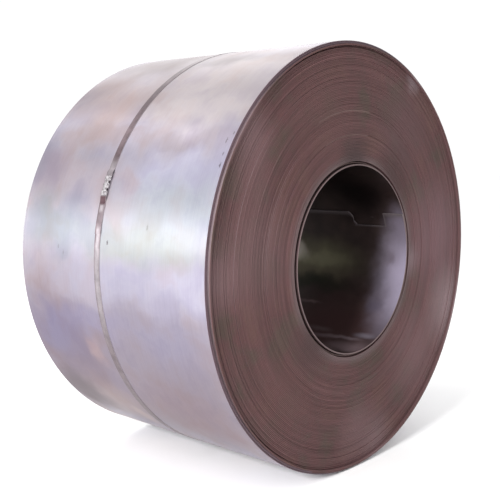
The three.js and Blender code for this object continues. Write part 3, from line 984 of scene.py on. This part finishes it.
def strip_edge():
    """Rusted rolled edge: bare edges of the strip with thin brown rust, dull, streaked by turn.

    The eye sees brown rings, redder and greener in long soft patches, a pale worn first turn,
    dark turns at the skin, and turns in the groove by the bore darkened with painted shade.
    """
    material, tree = new_material("rusty_rolled_edge")
    place = from_axis(tree)
    flat = add(tree, "VectorMath", {0: place, 1: (1, 0, 1)}, operation="MULTIPLY")
    radius = add(tree, "VectorMath", {0: flat}, operation="LENGTH", out="Value")
    way = add(tree, "VectorMath", {0: flat}, operation="NORMALIZE")
    blotches = add(tree, "TexNoise", {
        "Vector": place, "Scale": 1 / RUST_BLOTCH, "Detail": 4.0, "Roughness": 0.6,
    })
    rings = []
    for around, wide, detail in RUST_RINGS:
        turned = add(tree, "VectorMath", {0: way, 1: (1 / around,) * 3}, operation="MULTIPLY")
        out = add(tree, "Math", {0: radius, 1: 1 / wide}, operation="MULTIPLY")
        deep = add(tree, "CombineXYZ", {"Y": out})
        spot = add(tree, "VectorMath", {0: turned, 1: deep}, operation="ADD")
        rings.append(add(tree, "TexNoise", {"Vector": spot, "Scale": 1.0, "Detail": detail}))
    bands, lines = rings
    colour = add(tree, "ValToRGB", {"Fac": blotches}, stops=[
        (0.36, "#574640"), (0.46, "#5d4342"), (0.54, "#614243"), (0.64, "#634744"),
    ])
    band = add(tree, "ValToRGB", {"Fac": bands}, stops=[
        (0.32, "#e8e6e5"), (0.5, "#f4f2f2"), (0.7, "#ffffff"),
    ])
    colour = add(tree, "Mix", {0: 1.0, 6: colour, 7: band}, blend_type="MULTIPLY", **BLEND)
    line = add(tree, "ValToRGB", {"Fac": lines}, stops=[(0.35, "#ebe8e7"), (0.65, "#ffffff")])
    colour = add(tree, "Mix", {0: 1.0, 6: colour, 7: line}, blend_type="MULTIPLY", **BLEND)
    run = add(tree, "Attribute", out="Fac", attribute_name="run")
    length = {"W": run, "Scale": 1 / RUST_RUN, "Detail": 3.0, "Roughness": 0.6}
    each = add(tree, "TexNoise", length, noise_dimensions="1D")
    tone = add(tree, "ValToRGB", {"Fac": each}, stops=[
        (0.3, "#e2dedd"), (0.5, "#f0eeee"), (0.72, "#ffffff"),
    ])
    colour = add(tree, "Mix", {0: 1.0, 6: colour, 7: tone}, blend_type="MULTIPLY", **BLEND)
    uneven = wandering(tree, place, *RUST_OUTLINE)
    colour = patched(tree, colour, uneven, on_end(EDGE_CLOUDS), soft=0.95)
    dusty = add(tree, "MapRange", {
        "Value": radius, "From Min": DUST_GONE, "From Max": DUST_FULL, "To Max": DUST_SHARE,
    })
    colour = add(tree, "Mix", {0: dusty, 6: colour, 7: tint(DUST)}, **BLEND)
    colour = patched(tree, colour, uneven, on_end(NEAR_BORE_CLOUDS), soft=0.9)
    for first, last, shade, strength in MARKED_TURNS:
        past = add(tree, "Math", {0: run, 1: length_at(first)}, operation="GREATER_THAN")
        before = add(tree, "Math", {0: run, 1: length_at(last)}, operation="LESS_THAN")
        part = add(tree, "Math", {0: past, 1: before}, operation="MULTIPLY")
        some = add(tree, "Math", {0: part, 1: strength}, operation="MULTIPLY")
        colour = add(tree, "Mix", {0: some, 6: colour, 7: tint(shade)}, **BLEND)
    sheared = add(tree, "Attribute", out="Fac", attribute_name="sheared")
    colour = add(tree, "Mix", {0: sheared, 6: colour, 7: tint(SHEARED_EDGE)}, **BLEND)
    bump = add(tree, "Bump", {"Height": lines, "Strength": 0.25, "Distance": 0.001})
    surface = add(tree, "BsdfPrincipled", {
        "Base Color": colour, "Metallic": 0.0, "Roughness": 0.62, "Specular IOR Level": 0.25,
        "Normal": bump,
    })
    add(tree, "OutputMaterial", {"Surface": surface})
    return material


WORN_SIZE = 30 * MM
SLIT_METAL = "#b3a9ad"


def strapping():
    """Blued steel strapping, with painted shade that makes it brown-black above and along its edges,
    and a painted highlight as bright as the coil elsewhere.

    The eye sees a dark taut band with a soft gleam along its middle, dark edges and bare slit sides.
    """
    material, tree = new_material("blued_steel_strapping")
    place = from_axis(tree)
    worn = add(tree, "TexNoise", {
        "Vector": place, "Scale": 1 / WORN_SIZE, "Detail": 4.0, "Roughness": 0.6,
    })
    bright = add(tree, "ValToRGB", {"Fac": worn}, stops=[(0.35, "#827b80"), (0.65, "#989195")])
    dark = add(tree, "ValToRGB", {"Fac": worn}, stops=[(0.35, "#3b262b"), (0.65, "#533d43")])
    rim = add(tree, "Attribute", out="Fac", attribute_name="rim")
    painted_shade = add(tree, "Attribute", out="Fac", attribute_name="painted_shade")
    # painted shade and painted highlight, mixed by the strap's attributes
    share = add(tree, "Math", {0: painted_shade, 1: rim}, operation="MAXIMUM")
    colour = add(tree, "Mix", {0: share, 6: bright, 7: dark}, **BLEND)
    slit = add(tree, "Attribute", out="Fac", attribute_name="slit")
    colour = add(tree, "Mix", {0: slit, 6: colour, 7: tint(SLIT_METAL)}, **BLEND)
    surface = add(tree, "BsdfPrincipled", {"Base Color": colour, "Metallic": 0.8, "Roughness": 0.38})
    add(tree, "OutputMaterial", {"Surface": surface})
    return material


SCUFF_SIZE = 7 * MM
SIDE_SHADE_TONE = "#3c3639"


def seal_zinc():
    """Zinc-plated seal: bright pale sheet metal, with painted shade on its sides that is darkest in
    the crimps.
    """
    material, tree = new_material("zinc_plated_seal")
    place = from_axis(tree)
    scuffs = add(tree, "TexNoise", {
        "Vector": place, "Scale": 1 / SCUFF_SIZE, "Detail": 3.0, "Roughness": 0.6,
    })
    colour = add(tree, "ValToRGB", {"Fac": scuffs}, stops=[
        (0.34, "#766f72"), (0.46, "#aaa4a8"), (0.60, "#dad6d9"),
    ])
    side_shade = add(tree, "Attribute", out="Fac", attribute_name="side_shade")
    colour = add(tree, "Mix", {0: side_shade, 6: colour, 7: tint(SIDE_SHADE_TONE)}, **BLEND)
    surface = add(tree, "BsdfPrincipled", {"Base Color": colour, "Metallic": 1.0, "Roughness": 0.28})
    add(tree, "OutputMaterial", {"Surface": surface})
    return material


# ---------------------------------------------------------------- studio

def pale_floor():
    """Matt off-white floor paint, which the eye sees as plain white with a soft shadow."""
    material, tree = new_material("pale_floor_paint")
    place = add(tree, "TexCoord", out="Object")
    speck = add(tree, "TexNoise", {"Vector": place, "Scale": 3.0})
    colour = add(tree, "ValToRGB", {"Fac": speck}, stops=[(0.3, "#fcfcfc"), (0.7, "#fefefe")])
    surface = add(tree, "BsdfPrincipled", {"Base Color": colour, "Roughness": 0.9})
    add(tree, "OutputMaterial", {"Surface": surface})
    bm = bmesh.new()
    bmesh.ops.create_circle(bm, cap_ends=True, segments=FLOOR_SIDES, radius=FLOOR_RADIUS)
    floor = finish_mesh(bm, "studio_floor", (material,))


def light(name, at, towards, size, power):
    """A white soft box."""
    data = bpy.data.lights.new(name, "AREA")
    data.shape = "RECTANGLE"
    data.size, data.size_y = size
    data.energy = power
    lamp = bpy.data.objects.new(name, data)
    lamp.location = at
    aim = Vector(towards) - Vector(at)
    lamp.rotation_euler = aim.to_track_quat("-Z", "Y").to_euler()
    bpy.context.scene.collection.objects.link(lamp)


def studio():
    """A white sky and the soft boxes."""
    world = bpy.data.worlds.new("studio")
    world.use_nodes = True
    world.node_tree.nodes.clear()
    white = {"Color": tint("#ffffff"), "Strength": SKY_STRENGTH}
    sky = add(world.node_tree, "Background", white)
    add(world.node_tree, "OutputWorld", {"Surface": sky})
    bpy.context.scene.world = world
    bpy.context.scene.view_settings.view_transform = "Standard"
    for box in LIGHTS:
        light(*box)


def main_camera():
    """Low in front and to the left, looking into the bore."""
    data = bpy.data.cameras.new("camera")
    data.lens = CAMERA_LENS
    data.sensor_width = CAMERA_SENSOR
    camera = bpy.data.objects.new("camera", data)
    camera.location = CAMERA_PLACE
    camera.rotation_euler = (math.radians(90 - CAMERA_DIP), 0, math.radians(CAMERA_TURN))
    bpy.context.scene.collection.objects.link(camera)
    bpy.context.scene.camera = camera


main_camera()
wound_strip(mill_scale(), strip_edge(), bore_scale())
tie_strap(strapping())
strap_seal(seal_zinc())
pale_floor()
studio()
